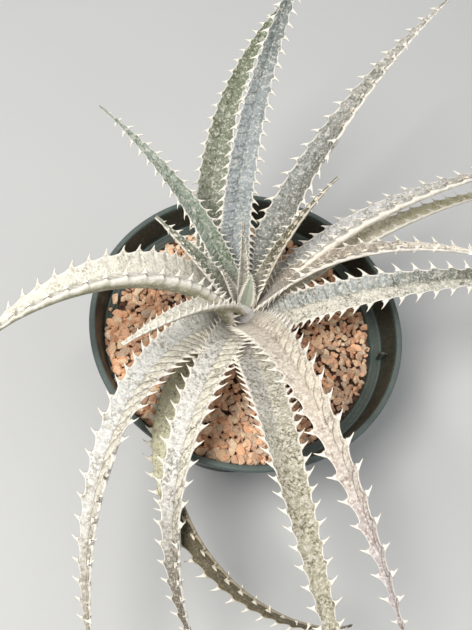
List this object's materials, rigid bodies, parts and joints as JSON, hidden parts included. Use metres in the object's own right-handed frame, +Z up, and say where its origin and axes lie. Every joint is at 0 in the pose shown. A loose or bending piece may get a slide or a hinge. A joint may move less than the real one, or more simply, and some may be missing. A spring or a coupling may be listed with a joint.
{
  "type": "potted dyckia bromeliad",
  "caption": "Spiny rosette of arching, silvery, saw-edged leaves on a short stem, rooted in brick gravel in a round plastic nursery pot with a ledge inside its collar.",
  "frame": {"origin": "middle of the pot's flat base, on the surface it stands on", "axes": "+Z up the pot's axis, -Y towards the front, where the longest leaves arch over the rim"},
  "size_m": [0.3189, 0.4183, 0.2778],
  "materials": {
    "pot_plastic": "satin",
    "brick_gravel": "matte",
    "stem_skin": "matte",
    "young_leaf": "satin",
    "pale_leaf": "matte",
    "grey_leaf": "matte",
    "green_leaf": "matte"
  },
  "bodies": {
    "root": {"pot": "pot_plastic", "gravel": "brick_gravel", "stem": "stem_skin", "leaf_01": "young_leaf", "leaf_02": "young_leaf", "leaf_03": "young_leaf", "leaf_04": "pale_leaf", "leaf_05": "young_leaf", "leaf_06": "young_leaf", "leaf_07": "green_leaf", "leaf_08": "grey_leaf", "leaf_09": "pale_leaf", "leaf_10": "pale_leaf", "leaf_11": "grey_leaf", "leaf_12": "pale_leaf", "leaf_13": "grey_leaf", "leaf_14": "pale_leaf", "leaf_15": "pale_leaf", "leaf_16": "grey_leaf", "leaf_17": "pale_leaf", "leaf_18": "green_leaf", "leaf_19": "green_leaf", "leaf_20": "green_leaf"}
  },
  "joints": []
}
